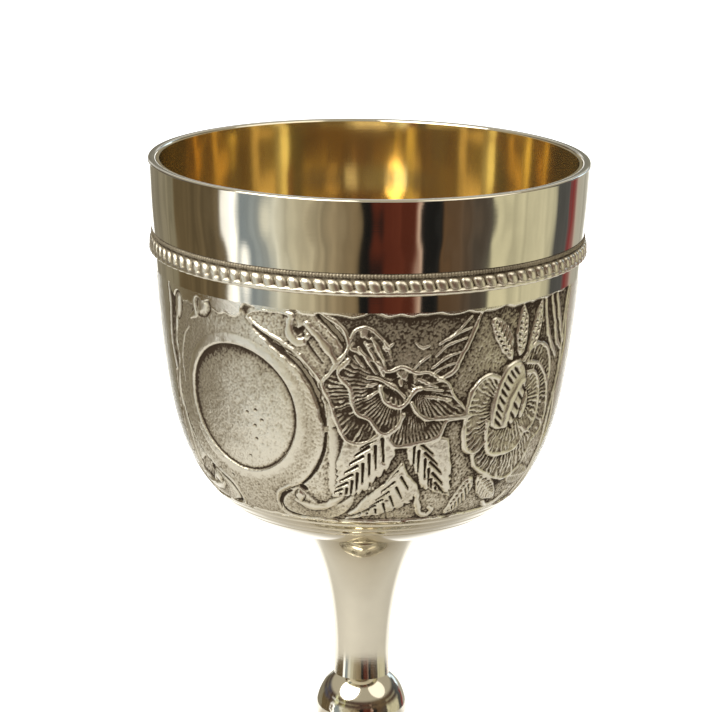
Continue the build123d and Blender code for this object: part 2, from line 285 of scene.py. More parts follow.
def blur(field, across, down):
    """Gaussian blur in grid steps; wraps round the first axis and mirrors at the ends of the second."""
    columns, rows = field.shape
    double = np.concatenate([field, field[:, ::-1]], 1)
    wave_a = np.fft.fftfreq(columns)[:, None] * 2 * pi * across
    wave_d = np.fft.rfftfreq(2 * rows)[None, :] * 2 * pi * down
    kept = np.fft.rfft2(double) * np.exp(-(wave_a**2 + wave_d**2) / 2)
    return np.fft.irfft2(kept, s=double.shape)[:, :rows]


def smooth(points, closed=False, step=0.35):
    """Rounded curve through a few given points."""
    p = np.array(points, float)
    if closed:
        p = np.concatenate([p[-1:], p, p[:2]])
    else:
        p = np.concatenate([2 * p[:1] - p[1:2], p, 2 * p[-1:] - p[-2:-1]])
    parts = []
    for a, b, c, d in zip(p, p[1:], p[2:], p[3:]):
        count = max(2, int(hypot(*(c - b)) / step))
        t = np.arange(count)[:, None] / count
        bend = 2 * a - 5 * b + 4 * c - d
        parts.append(0.5 * (2 * b + (c - a) * t + bend * t**2 + (3 * b - a - 3 * c + d) * t**3))
    return np.concatenate(parts if closed else parts + [p[-2:-1]])


def ease(value):
    """Smooth step from 0 to 1."""
    value = np.clip(value, 0, 1)
    return value * value * (3 - 2 * value)


def nearest(x, y, line):
    """Distance to a polyline, side of it, length along it at the nearest point, and its whole length."""
    best = np.full(x.shape, 1e9)
    side = np.ones(x.shape)
    reach = np.zeros(x.shape)
    walked = 0.0
    for a, b in zip(line, line[1:]):
        span = b - a
        length = hypot(*span)
        if length < 1e-9:
            continue
        t = np.clip(((x - a[0]) * span[0] + (y - a[1]) * span[1]) / length**2, 0, 1)
        dx, dy = x - a[0] - t * span[0], y - a[1] - t * span[1]
        far = np.hypot(dx, dy)
        closer = far < best
        best[closer] = far[closer]
        side[closer] = np.sign(span[0] * dy - span[1] * dx)[closer]
        reach[closer] = (walked + t * length)[closer]
        walked += length
    return best, side, reach, walked


def within(x, y, line):
    """Whether points lie inside a closed polyline."""
    odd = np.zeros(x.shape, bool)
    for (ax, ay), (bx, by) in zip(line, np.roll(line, -1, 0)):
        if ay != by:
            odd ^= ((ay > y) != (by > y)) & (x < (bx - ax) * (y - ay) / (by - ay) + ax)
    return odd


class Panel:
    """One repeat of a relief band: columns are angles, rows are drops, and lengths are in mm."""

    def __init__(self, columns, rows, period, depth, width_per_degree):
        self.scale = width_per_degree
        self.degrees = period * (np.arange(columns) / columns - 0.5)
        self.x = self.degrees * width_per_degree
        self.drop = depth * np.arange(rows) / (rows - 1)
        self.step = period * width_per_degree / columns
        self.row_step = self.drop[1]
        self.height = np.zeros((columns, rows))
        self.stipple = np.ones((columns, rows))  # share of the punched grain that shows
        self.tint = np.zeros((columns, rows))  # lighter above 0, darker below
        self.plain = np.zeros((columns, rows))  # 1 where the face is left smooth
        self.grain = self.noise(0.45)  # unevenness of the drawn shapes
        self.origin = (0.0, 0.0)
        self.mirror = None

    def locate(self, points):
        """Given (degrees, drop) points in mm, moved to the motif's origin and mirrored if asked."""
        p = np.array(points, float) + self.origin
        if self.mirror is not None:
            p[:, 0] = 2 * self.mirror - p[:, 0]
        p[:, 0] *= self.scale
        return p

    def window(self, line, margin):
        """Grid indices and coordinates near a polyline, wrapping round the repeat."""
        low, high = line.min(0) - margin, line.max(0) + margin
        first, last = np.floor(low[0] / self.step), np.ceil(high[0] / self.step)
        i = np.arange(int(first), int(last) + 1)
        j = np.where((self.drop >= low[1]) & (self.drop <= high[1]))[0]
        x, y = np.meshgrid(i * self.step, self.drop[j], indexing="ij")
        columns = len(self.x)
        return np.ix_((i + columns // 2) % columns, j), x, y

    def noise(self, size):
        """Random field of unit spread, with grains of about the given size."""
        field = blur(rng.standard_normal(self.height.shape), size / self.step, size / self.row_step)
        return field / field.std()

    def paint(self, index, cover, height, stipple, tint):
        """Covers part of the panel with a new height, share of grain and tint."""
        layers = ((self.height, height), (self.stipple, stipple), (self.tint, tint), (self.plain, 0))
        for layer, value in layers:
            layer[index] += cover * (value - layer[index])

    def burnish(self, index, share):
        """Smooths and lightens the crest of a raised line."""
        self.stipple[index] *= 1 - 0.8 * share
        self.plain[index] *= 1 - share
        self.tint[index] += share * (0.14 - self.tint[index])

    def roughen(self, fine, coarse):
        """Adds the punched grain where it shows."""
        self.height += self.stipple * (0.05 * np.clip(fine, -2.5, 1.1) + 0.02 * coarse)


def ridge(panel, points, width, height, taper=0.3):
    """Adds a rounded bead along a curve, or cuts a groove with a height below 0."""
    line = smooth(panel.locate(points))
    index, x, y = panel.window(line, width)
    far, _, reach, length = nearest(x, y, line)
    share = 1 - taper * (1 - np.sin(pi * np.clip(reach / length, 0, 1)) ** 0.6)
    half = width / 2 * share * (1 + 0.14 * panel.grain[index])
    profile = np.clip(1 - (far / half) ** 2, 0, 1) ** 0.75
    panel.height[index] += height * share * profile
    if height > 0:
        panel.burnish(index, profile)


def plate(panel, points, height, edge=0.5, crown=0.0, stipple=1.0, tint=0.0):
    """Paints a closed shape: a plateau with rounded edges that covers what is below it."""
    line = smooth(panel.locate(points), closed=True)
    index, x, y = panel.window(line, 0.6)
    far = nearest(x, y, np.concatenate([line, line[:1]]))[0]
    far = np.where(within(x, y, line), far, 0)
    top = height * ease(far / edge) + crown * (1 - np.exp(-far / 1.6))
    panel.paint(index, ease(far / 0.2), top, stipple, tint)


def petal(panel, rim, heart, low=-0.1, high=0.22, roll=0.95, rise=0.34, pitch=0.95, shade=-0.34):
    """Paints a petal with a rolled rim and thin raised strokes, pitch apart, that run to the heart."""
    rim_line = smooth(panel.locate(rim))
    centre = panel.locate([heart])[0]
    line = np.concatenate([rim_line, [centre]])
    index, x, y = panel.window(line, 0.8)
    far = nearest(x, y, rim_line)[0]
    across, down = x - centre[0], y - centre[1]
    radius = np.hypot(across, down)
    out = radius / (radius + far + 1e-6)
    uneven = panel.grain[index]
    count = round(2 * pi * np.hypot(*(rim_line - centre).T).mean() / pitch)
    stroke = ease((np.cos(count * np.arctan2(down, across) + uneven) - 0.05) / 0.8)
    stroke = stroke * ease((out - 0.3) / 0.3) * ease((far - 0.1) / 0.5)
    stroke *= np.clip(0.7 + 0.5 * uneven, 0, 1.3)
    top = low + (high - low) * out**1.5 + 0.24 * stroke
    cover = np.where(within(x, y, line), ease(far / 0.15 + 0.5), 0)
    panel.paint(index, cover, top, 0.6, shade + 0.2 * stroke)
    bead = np.clip(1 - (far / (roll / 2 * (1 + 0.2 * uneven))) ** 2, 0, 1) ** 0.75
    base = panel.height[index]
    panel.height[index] = np.maximum(base, (high + rise) * bead + base * (1 - bead))
    panel.burnish(index, bead)


def leaf(panel, outline, rib, sides=None, count=8, slot=0.36):
    """Paints a leaf with tapered slots on both sides of its rib.

    sides holds, for either side, the (degrees, drop) reach of the slots at the start and end of the rib.
    """
    if sides is None:
        span = 0.3 * (np.array(rib[-1]) - rib[0]) * (panel.scale, 1)
        turned_span = np.array([-span[1], span[0]])
        sides = [[(0.64 * span + sign * 0.77 * turned_span) / (panel.scale, 1)] * 2 for sign in (-1, 1)]
    line = smooth(panel.locate(outline), closed=True)
    index, x, y = panel.window(line, 0.6)
    edge = nearest(x, y, np.concatenate([line, line[:1]]))[0]
    edge = np.where(within(x, y, line), edge, 0)
    middle = smooth(rib, step=0.2)
    slots, notches = np.zeros(x.shape), np.zeros(x.shape)
    for number in range(2 * count):
        share = 0.04 + 0.84 * number / (2 * count - 1)
        start = middle[int(share * len(middle))]
        first, last = np.array(sides[number % 2])
        reach = first + share * (last - first)
        far, _, gone, length = nearest(x, y, panel.locate([start + 0.2 * reach, start + reach]))
        slots = np.maximum(slots, 1 - far / (slot * (1.35 - 0.6 * gone / length)))
        far = nearest(x, y, panel.locate([start + reach, start + 2 * reach]))[0]
        notches = np.maximum(notches, 1 - far / 0.6)
    uneven = panel.grain[index]
    lobed = np.clip(edge - 0.5 * ease(notches) - 0.12 * (1 + uneven), 0, None)
    blade = LEAF_HEIGHT * ease(lobed / 0.5) + 0.04 * uneven
    blade -= SLOT_DEPTH * ease(1.8 * slots) * ease((edge - 0.5) / 0.5)
    panel.paint(index, ease(lobed / 0.12), blade, 0.6, 0.03)


def ribbed_arch(panel, arch, count):
    """Adds a rolled arch with a row of slanting cuts along its inner side."""
    ridge(panel, arch, 1.8, 0.45, 0.2)
    line = smooth(arch, step=0.2)
    for pick in np.linspace(0.08, 0.82, count) * len(line):
        x, y = line[int(pick)]
        ridge(panel, [(x + 0.9, y + 0.2), (x + 3.3, y + 1.9)], 0.75, -0.5)


def ridges(panel, width, height, *lines):
    """Adds several thin ridges, or cuts several grooves."""
    for points in lines:
        ridge(panel, points, width, height)


def both_sides(panel, motif):
    """Draws a motif and its mirror image."""
    for mirror in (None, 0):
        panel.mirror = mirror
        motif(panel)
    panel.mirror = None


def open_rose(panel):
    """Large open rose beside the medallion, with three leaves below it and a veined one above."""
    panel.origin = (CAMERA_SIDE, 0.0)
    leaf(panel, [(9.8, 30.2), (6, 33.4), (3, 35.4), (-0.4, 37.8), (-4, 40.8), (-7.2, 44.4), (0.3, 43.4),
                 (4.5, 43), (9, 41.8), (12.6, 40.6), (15.6, 39.4), (17, 37.3), (16.4, 34.8), (13.2, 32),
                 (11.4, 29.6)],
         [(10.6, 30.2), (9.9, 33.6), (7.4, 37.1), (4.6, 39.6), (0.3, 41.7), (-6.9, 44.2)],
         [((-4.6, 3.2), (-5, 0.2)), ((3.6, 3.4), (-1.4, 2.8))], 8, slot=0.3)
    leaf(panel, [(12, 24.5), (11.5, 28), (14, 31.6), (16.6, 35.2), (18.3, 36.6), (20.5, 36.9), (23.5, 37.8),
                 (28.9, 39), (27.9, 35.5), (26.9, 31.5), (25.4, 28), (24, 25), (18, 24)],
         [(13.6, 23.4), (15.3, 26.3), (18.1, 29), (19.9, 32.5), (22.1, 35.2), (28.1, 38.4)],
         [((0.2, 6.2), (1.8, 2.6)), ((5.4, 3.2), (4, 3.2))], 7)
    leaf(panel, [(-4.5, 23.5), (-7.5, 27), (-8.8, 30), (-9.2, 33.6), (-10.6, 37.8), (-6, 38.1),
                 (-2.2, 37.4), (1, 35.9), (3.6, 33.7), (6.2, 32), (8.3, 29.3), (9, 26.5), (7, 23.5)],
         [(6.2, 22.3), (3.2, 24.6), (0.2, 28), (-3.3, 32.6), (-6.1, 35.6), (-9.6, 37.6)],
         [((-5, 2.6), (-4, 1.2)), ((1, 6.4), (-1.6, 3.4))], 8)
    ridge(panel, [(16.6, 36.6), (17.3, 40), (19.2, 42.8), (22, 43.6), (23.4, 42.3), (22, 41.3)], 1.5, 0.45)
    petal(panel, [(-5.4, 9), (-4.6, 5.6), (-3, 3.4), (0, 2.8), (2.8, 4.2), (5.3, 6.3), (6.6, 9)],
          (8.5, 12.5), pitch=3, roll=0.6, rise=0.12)
    ridges(panel, 0.7, 0.4, [(1.2, 4.8), (3, 7), (5, 10.6)], [(-0.6, 5.6), (1.4, 8), (4.6, 12.2)],
           [(-2.2, 6.6), (0, 9), (3.2, 12.6)], [(-3.2, 8.2), (-1, 10.4), (1.8, 12.8)],
           [(-4.4, 9.6), (-2.2, 11.8), (0.4, 13)], [(-5.8, 11), (-3.6, 13), (-1, 14.2)])
    ridge(panel, [(31.6, 0.3), (29.6, 3.6), (27.8, 6.7), (25.6, 9.4), (24.4, 11.4), (22.4, 12.5),
                  (19.8, 13.2)], 1.1, 0.5, 0.15)
    ridges(panel, 0.6, 0.36, [(28.3, 1.5), (23.9, 4.4), (19.4, 6.4)],
           [(28.4, 3.6), (24.6, 4.5), (21.8, 5.7)], [(27.2, 5.5), (21.7, 6.7), (18.6, 8.6)],
           [(25.5, 8.2), (21.7, 9), (17.6, 11)], [(24.6, 10.2), (21, 10.9), (17.4, 12.3)],
           [(16.8, 8.4), (14.5, 9.6), (12.6, 11)], [(12.8, 5.8), (14.6, 6.9), (16.6, 6.5)],
           [(4.4, 5.4), (5.6, 6.5), (6.8, 5.9)])
    petal(panel, [(19.5, 13.2), (22.6, 14.2), (24.6, 16.9), (27, 18.6), (28.4, 20), (26.5, 21.3)],
          (11.5, 14.5), roll=0.7, rise=0.2, pitch=1.3)
    petal(panel, [(5.5, 24), (8, 26.2), (11, 26.4), (14.6, 25.9), (18.1, 25.5), (20.9, 24.8), (22.2, 22.8),
                  (23.4, 21.6), (29, 21.3)], (12, 15), high=0.36, pitch=0.85)
    petal(panel, [(-5.6, 7.6), (-9, 11), (-11.9, 14), (-10.1, 17.1), (-8.6, 20.5), (-6.9, 23.6),
                  (-5.2, 25.2), (-2.5, 25.8), (0.5, 25.3), (2.8, 24.4), (4.6, 23.4)], (5.5, 15), high=0.4)
    petal(panel, [(12.3, 17.5), (13.6, 19.2), (16.4, 20.9), (19.2, 21.1), (24, 21), (30, 20.9)], (13.5, 14),
          high=0.38)
    petal(panel, [(-4.8, 9), (-7.6, 11.7), (-4.4, 14.8), (-3.8, 17.5), (-2.2, 19.8), (1, 20.9), (3.5, 23.2),
                  (6, 23.6), (8.9, 22.1), (10.2, 20)], (8.5, 14), high=0.45, pitch=0.9)
    petal(panel, [(3.7, 14.2), (4.6, 16.7), (6.4, 17.8), (8.9, 18.4), (11, 17.5), (13.1, 15.3),
                  (14.6, 14.8)], (8.8, 12.5), low=-0.4, high=0.45)
    ridge(panel, [(3.1, 9.4), (4.6, 10.9), (6, 11.3), (8.9, 10.5), (11, 10.9), (13.1, 11.7), (16.4, 11.7),
                  (18.1, 12.3), (21.7, 13.6)], 0.9, 0.4)
    ridge(panel, [(0.4, 12.4), (3.1, 12.7), (6, 13.8), (8.1, 14.8), (10.3, 16.3)], 0.95, 0.4)
    ridges(panel, 1.5, -0.5, [(5.3, 12.2), (8.2, 12.6)], [(11.8, 12.2), (11.9, 14.6)],
           [(4.8, 14.8), (7.6, 16.1)])
    ridges(panel, 0.8, 0.34, [(14, 13), (19.4, 14.8)], [(14.2, 14.7), (21, 15.5)],
           [(16.5, 16.5), (23.6, 17.5)], [(0.2, 14.2), (2.8, 13.6)], [(0.4, 16.4), (3, 15.2)],
           [(8.6, 11.6), (9.4, 14.2)])


def full_rose(panel):
    """Full rose to the right of the open one, with a ribbed bud at its heart and leaves all round."""
    panel.origin = (CAMERA_SIDE, 0.0)
    for outline, rib in (
        ([(43.5, 11.5), (39.5, 10), (35.5, 6), (34.5, 2.5), (38, 2.6), (42.5, 5.5)],
         [(43.5, 11.3), (39, 7), (35, 3)]),
        ([(45.5, 11), (43.5, 7), (44.5, 1.5), (46.3, 0.4), (48.5, 4.5), (48, 9.5)],
         [(46, 11), (46, 5), (46.2, 0.8)]),
        ([(48.5, 11.5), (49.5, 6), (52.5, 1), (54.3, 0.6), (54.5, 5.5), (52, 10.5)],
         [(49, 11.5), (52, 5.5), (54, 1)]),
        ([(33.5, 34), (30.5, 37), (28.8, 41), (28.5, 44), (32, 43.5), (36, 40.5), (36.5, 36)],
         [(35, 34.5), (32, 39), (28.8, 43.8)]),
        ([(36.5, 34.5), (41, 34.8), (46.5, 37.5), (50, 41.5), (44.5, 41.8), (39, 39.5)],
         [(37, 35), (43, 38.5), (49.5, 41.3)]),
        ([(51, 36), (55, 34.5), (61, 35), (65.5, 37.5), (60, 39.8), (54, 39)],
         [(51.5, 36.6), (58, 37.4), (65, 37.6)]),
    ):
        leaf(panel, outline, rib, slot=0.26)
    ridges(panel, 1.3, 0.4, [(55.5, 0.8), (56.8, 5), (60, 9.5), (65, 13.2)],
           [(58.6, 0.8), (61, 5), (64.5, 10), (68, 12.2)], [(61.8, 0.8), (65, 6), (68.5, 10.8)])
    ridge(panel, [(45, 42.5), (49, 44), (54, 43.6), (57, 41.5)], 1.5, 0.45)
    petal(panel, [(47.5, 12), (52, 9.3), (58, 10.5), (62, 15.5), (61, 20)], (47, 20), pitch=1.2, shade=-0.1)
    petal(panel, [(49.5, 12.5), (55, 13.5), (61, 18), (64, 24), (62.5, 28.5), (57, 30)], (47, 20),
          pitch=1.2, shade=-0.1)
    petal(panel, [(32, 28), (34.5, 32), (39, 34.2), (46, 36.3), (52, 36.6), (57, 34), (59, 29.5)],
          (46.5, 22), pitch=1.3, shade=-0.04)
    petal(panel, [(39, 14.5), (34.5, 13.6), (30.5, 16), (28.8, 21), (29.5, 27.4), (33.5, 29), (37.5, 26.4)],
          (44, 21), high=0.36, pitch=1.15, shade=-0.04)
    petal(panel, [(36.3, 23), (37, 27.5), (39.5, 30), (45, 30.5), (49.5, 30), (52, 27.8), (52.5, 23.5)],
          (45.5, 21), high=0.45, pitch=1.2, shade=0)
    petal(panel, [(49.5, 14.5), (53.5, 15), (56.7, 19), (57.4, 24.5), (54, 26.8), (50.5, 25.5)], (46.5, 20),
          high=0.45, pitch=1.2, shade=-0.04)
    plate(panel, [(37, 23), (38, 16.5), (40.8, 12.6), (44.5, 11.3), (48.3, 12.6), (50.2, 16), (50, 20.5),
                  (47.5, 24.2), (43.5, 25.3), (39, 25)], 0.5, edge=0.7, stipple=0.3)
    ribbed_arch(panel, [(38, 23.6), (38.2, 19.5), (39.6, 15.5), (42.3, 12.8), (46, 12.1)], 9)
    ribbed_arch(panel, [(43.2, 24.4), (44.2, 20.5), (46.4, 17.2), (49, 15.9)], 5)
    plate(panel, [(48.2, 22), (49.6, 18.8), (51.6, 18.4), (52.2, 20.8), (50.8, 23.6), (49, 24)], 0.75,
          edge=0.9)


def upper_scroll(panel):
    """Broad stippled scroll above the medallion, with rolled edges and a volute."""
    plate(panel, [(5.3, 2), (7, 0.9), (11, 0.35), (20, 0.25), (24.5, 0.4), (28.5, 3.2), (32, 6.5),
                  (31.3, 9.7), (28.5, 12.2), (27, 14.5), (23.5, 11.8), (19.5, 8.8), (14.5, 6.7), (8.5, 4.8),
                  (6, 3.4)], 0.36, stipple=1.1, tint=0.02)
    ridge(panel, [(7, 4.1), (14, 7.9), (19.5, 10.6), (23.4, 14.2), (25.6, 18), (26.9, 22.5)], 1.7, -0.8,
          0.5)
    ridge(panel, [(5.4, 2.4), (8.5, 4.2), (14.5, 6.3), (19.5, 8.5), (23.5, 11.3), (27, 14.6)], 1.1, 0.42, 0)
    ridge(panel, [(22.6, 2.6), (24.5, 4), (28, 7.2), (30.6, 10.2)], 1.6, 0.55)
    ridge(panel, [(20.6, 3.6), (23, 6.6), (26.6, 10)], 0.7, -0.3)
    ridge(panel, [(5.4, 2.4), (6.2, 1.3), (9.2, 0.7), (16, 0.6), (18.5, 1.4)], 1.0, 0.42, 0)
    ridge(panel, [(18.3, 1.3), (17.4, 3.6), (18.7, 5.8), (21, 6.1), (22.7, 4.8)], 1.7, 0.62, 0.4)
    ridge(panel, [(19.2, 3.6), (20.4, 4.2), (21.4, 3.4)], 1.2, -0.5)
    ridge(panel, [(25, 0.4), (27.9, 2.5), (30.7, 4.4), (32.6, 6.6)], 1.5, -0.8)
    ridge(panel, [(26, 0.4), (30.2, 2), (32.4, 3.6), (33.3, 6.4), (31.8, 9), (30, 11.5)], 0.9, 0.45, 0)


def lower_scroll(panel):
    """Broad scroll below the medallion, which ends in a bright volute."""
    plate(panel, [(9.3, 44.6), (8.8, 41.5), (10.5, 38.6), (14.5, 36.6), (17.5, 36.2), (20.5, 38), (24, 40),
                  (30, 39.5), (35, 37), (34, 40.5), (29, 43.8), (22, 44.8)], 0.3, stipple=0.8, tint=0.02)
    ridge(panel, [(27.1, 24), (26, 28.2), (22.5, 32.8), (18.7, 35.5)], 0.9, -0.45)
    ridge(panel, [(28.6, 18), (29.2, 23), (29.2, 28), (28.8, 33), (28.4, 37)], 2.2, 0.26)
    plate(panel, [(15.2, 38.3), (17.3, 36.6), (19.4, 38.3), (17.3, 40.1)], 0.8, edge=0.9, crown=0.2,
          stipple=0, tint=0.15)
    ridge(panel, [(18.2, 36.1), (19.6, 36.7)], 1.3, -0.6)
    ridge(panel, [(15.8, 39.6), (20.6, 41.1), (24.5, 40.7), (28.3, 39.4), (31, 37.8)], 1.8, 0.5, 0.4)
    ridge(panel, [(28.3, 44.6), (16.8, 44.5), (11.3, 43.6), (9.8, 42.4), (9.9, 40.5), (11.4, 38.8),
                  (14.5, 37.3)], 0.9, -0.42)
    ridge(panel, [(24, 44.7), (15, 44.9), (9.6, 44.2), (8.2, 41.5), (9.6, 38.2), (14.5, 36)], 0.7, 0.25, 0)


def knobs(panel):
    """Two raised knobs and the wavy line that ends the relief to the left of the medallion."""
    plate(panel, [(-14, 1.6), (-12, 0.2), (-8.5, 0.5), (-7, 2.2), (-9, 4.4), (-13, 4.6)], 0.95, edge=2.3,
          stipple=0.8, tint=0.12)
    ridge(panel, [(-13.4, 0.6), (-14.2, 2.2), (-13.6, 3.8), (-16.2, 5.2)], 1.6, 0.4)
    plate(panel, [(-25.4, 5), (-25, 2), (-22.6, 0.8), (-20.4, 2), (-21.2, 5.4), (-23.6, 7)], 1.0, edge=1.9,
          stipple=0.2, tint=0.18)
    ridge(panel, [(-24.2, 4.6), (-25, 8), (-26.6, 11.4), (-25.9, 14.4), (-27.4, 18), (-28.6, 22),
                  (-27.8, 26), (-27, 31), (-27.6, 36)], 1.0, 0.5)
    ridge(panel, [(-18, 7.4), (-20.8, 9.4), (-23.4, 14), (-23.8, 19)], 0.7, 0.22)


def medallion(panel, clouds, coarse):
    """Plain round field in a low frame, on the axis of the scrolls, with painted shade on the field and a
    painted highlight on the frame's upper left.
    """
    x, y = panel.x[:, None], panel.drop[None, :] - MEDALLION_DROP
    far = np.hypot(x, y)
    slope = (x + y) / MEDALLION_RADIUS
    field = ease((MEDALLION_RADIUS - far) / 0.35)
    flat = -0.02 - 0.14 * (far / MEDALLION_RADIUS) ** 2 + 0.012 * coarse
    flat = flat - 0.2 * ease(slope + 0.4) * np.exp(-(((MEDALLION_RADIUS - 0.3 - far) / 0.5) ** 2))
    # painted shade: the field darker towards its upper left and lighter towards its lower right, with a
    # darker crescent inside its upper-left rim
    shade = 0.06 + 0.17 * slope + 0.05 * clouds
    shade -= 0.1 * ease(-slope) * np.exp(-(((MEDALLION_RADIUS - far) / 3) ** 2))
    everywhere = (slice(None), slice(None))
    panel.paint(everywhere, field, flat, 0.6, np.clip(shade, -0.4, 0.22))
    ring = np.clip(1 - np.abs((far - MEDALLION_RADIUS - 0.9) / 1.1) ** 2.6, 0, 1)
    ring_height = 0.33 + 0.2 * ease(0.6 - slope) + 0.03 * coarse
    ring_height = np.maximum(ring_height, panel.height)
    # painted highlight: the frame lighter at its upper left
    panel.paint(everywhere, ring, ring_height, 0.3, 0.06 + 0.12 * ease(0.4 - slope))


def cup_relief():
    """Half of the cup's relief: medallion, scrolls, open rose, full rose and a plain field."""
    panel = Panel(columns=720, rows=266, period=180, depth=RELIEF_DEPTH, width_per_degree=0.69)
    fine, coarse, clouds = panel.noise(0.125), panel.noise(0.6), panel.noise(2.2)
    upper = np.exp(-((panel.drop[None, :] / 11) ** 2))
    panel.tint += 0.05 * clouds - 0.3 * upper
    plate(panel, BORDER, 0.3, edge=0.6, stipple=0.7)
    wave = 1.2 * np.sin(0.4 * panel.drop[None, :])
    around = panel.degrees[:, None]
    left, right = PLAIN_FIELD
    field = ease((right + 0.7 * wave - around) / 1.2) * ease((around - left + wave) / 1.2)
    dip = 2.6 * ease((around + 28) / 2) * ease((4.6 - around) / 2)
    gloss = ease((dip + 0.3 * coarse - panel.drop) / 0.9 + 0.5) * (dip > 0.3)
    panel.plain = np.maximum(field, gloss)
    panel.tint += panel.plain * (-0.4 * field * (1 - gloss) - panel.tint)
    upper_scroll(panel)
    both_sides(panel, lower_scroll)
    knobs(panel)
    medallion(panel, clouds, coarse)
    for x, y in PITS:
        ridge(panel, [(x, y), (x + 0.6, y + 0.1)], 0.6, -0.5)
    full_rose(panel)
    panel.origin = (0.0, 0.0)
    ridge(panel, [(108, 0.8), (106.4, 8), (107.6, 16), (106, 24), (106.6, 33), (104, 43.6)], 1.0, 0.5)
    open_rose(panel)
    panel.roughen(fine, coarse)
    return panel


def foot_leaves(panel):
    """Half of the foot's motif: two leaves, a scalloped line and the outer petals."""
    leaf(panel, [(3, 12), (10, 8.5), (19, 8), (27, 11.5), (20, 14.5), (11, 15.5)],
         [(3, 13), (14, 12), (26.5, 11.4)], count=6)
    leaf(panel, [(4, 16), (11, 16.8), (19, 19.5), (26, 24.5), (16, 24), (7.5, 20.5)],
         [(4.5, 17), (14, 20), (25, 24)], count=6)
    ridge(panel, [(0, 1.5), (8, 2.6), (16, 5), (23, 4.6), (25, 2.4), (21.5, 1.9)], 1.5, 0.45)
    petal(panel, [(1, 5.5), (7, 6.2), (12, 9.5), (11.5, 14), (7, 15.5)], (0, 13), high=0.3)
    petal(panel, [(8, 13.5), (11, 17), (8.5, 21), (3, 22), (0, 20.5)], (0, 13), high=0.36)


def foot_relief():
    """A sixth of the foot's relief: a small rose between leaves under a scalloped edge."""
    panel = Panel(columns=240, rows=150, period=60, depth=FOOT_RELIEF[1], width_per_degree=0.52)
    fine, coarse = panel.noise(0.14), panel.noise(0.6)
    both_sides(panel, foot_leaves)
    petal(panel, [(-7.5, 10.5), (-4, 7.5), (0, 6.8), (4, 7.5), (7.5, 10.5)], (0, 13), high=0.4)
    petal(panel, [(-6.5, 12), (-6, 15.5), (-2.5, 18), (2.5, 18), (6, 15.5), (6.5, 12)], (0, 12), high=0.46)
    plate(panel, [(-3, 12.5), (0, 10.8), (3, 12.5), (0, 14.6)], 0.8, edge=1.0, crown=0.2)
    panel.roughen(fine, coarse)
    return panel


def relief_skins(name, panel, curve, start, sectors, shift, nodes, material):
    """Closed slabs that carry a relief panel on a turned face, one per sector round the axis."""
    drop = panel.drop
    columns, rows = panel.height.shape
    worn = 0.3 + 0.22 * panel.noise(0.8)
    fade = ease((drop - worn) / 0.5) * ease((drop[-1] - drop - 0.5 * worn) / 0.5) * (1 - panel.plain)
    height = RELIEF_GAIN * panel.height - RELIEF_SINK
    height = np.where(height > 0, BUFFED * np.tanh(height / BUFFED), height) * fade - SMOOTH_SINK * (1 - fade)
    wide, close = (height - blur(height, size / panel.step, size / panel.row_step) for size in (WIDE, CLOSE))
    # hollows darkened as patina; tint brings in the motifs' tones and the medallion's painted shade
    dark = np.clip(0.5 - 2.3 * wide - 2.8 * close - panel.tint, 0, 1)
    # painted highlight: a bright line along the relief's top edge, where light catches its rim
    edge = np.exp(-(((drop - worn) / 0.32) ** 2)) * (1 - panel.plain)
    patina_and_shading = 1 - (dark * fade + np.clip(-panel.tint, 0, 1) * (1 - fade)) * (1 - edge)
    height, patina_and_shading, fade = (field[:, ::-1] for field in (height, patina_and_shading, fade))
    front, out = along(curve, start + drop[::-1])
    back, back_out = along(curve, start + np.linspace(0, drop[-1], BACK_ROWS))
    back = back - (RECESS - SKIN_GAP) * back_out
    v = np.concatenate([0.96 * (1 - drop[::-1] / drop[-1]), np.linspace(0.965, 0.995, BACK_ROWS)])
    creases = np.zeros(rows + BACK_ROWS, bool)
    creases[[0, rows - 1, rows, -1]] = True
    total = round(360 / panel.degrees.ptp() * (columns - 1))
    for sector in range(sectors):
        ids = np.arange(total // sectors + 1) + sector * total // sectors + round(shift / 360 * total)
        pick = (ids + columns // 2) % columns
        plain = np.ones((len(ids), BACK_ROWS))
        face = front + height[pick][..., None] * out
        section = np.concatenate([face, plain[..., None] * back], 1)
        values = {
            "patina_and_shading": np.concatenate([patina_and_shading[pick], 0.3 * plain], 1),
            "polish": np.concatenate([1 - fade[pick], 0 * plain], 1),
        }
        angles = ids * 360 / total
        skin = sweep(f"{name}_{sector + 1}", turned(section, angles), False, v, creases, values)
        place(skin, material, "silvered_casting", *nodes)


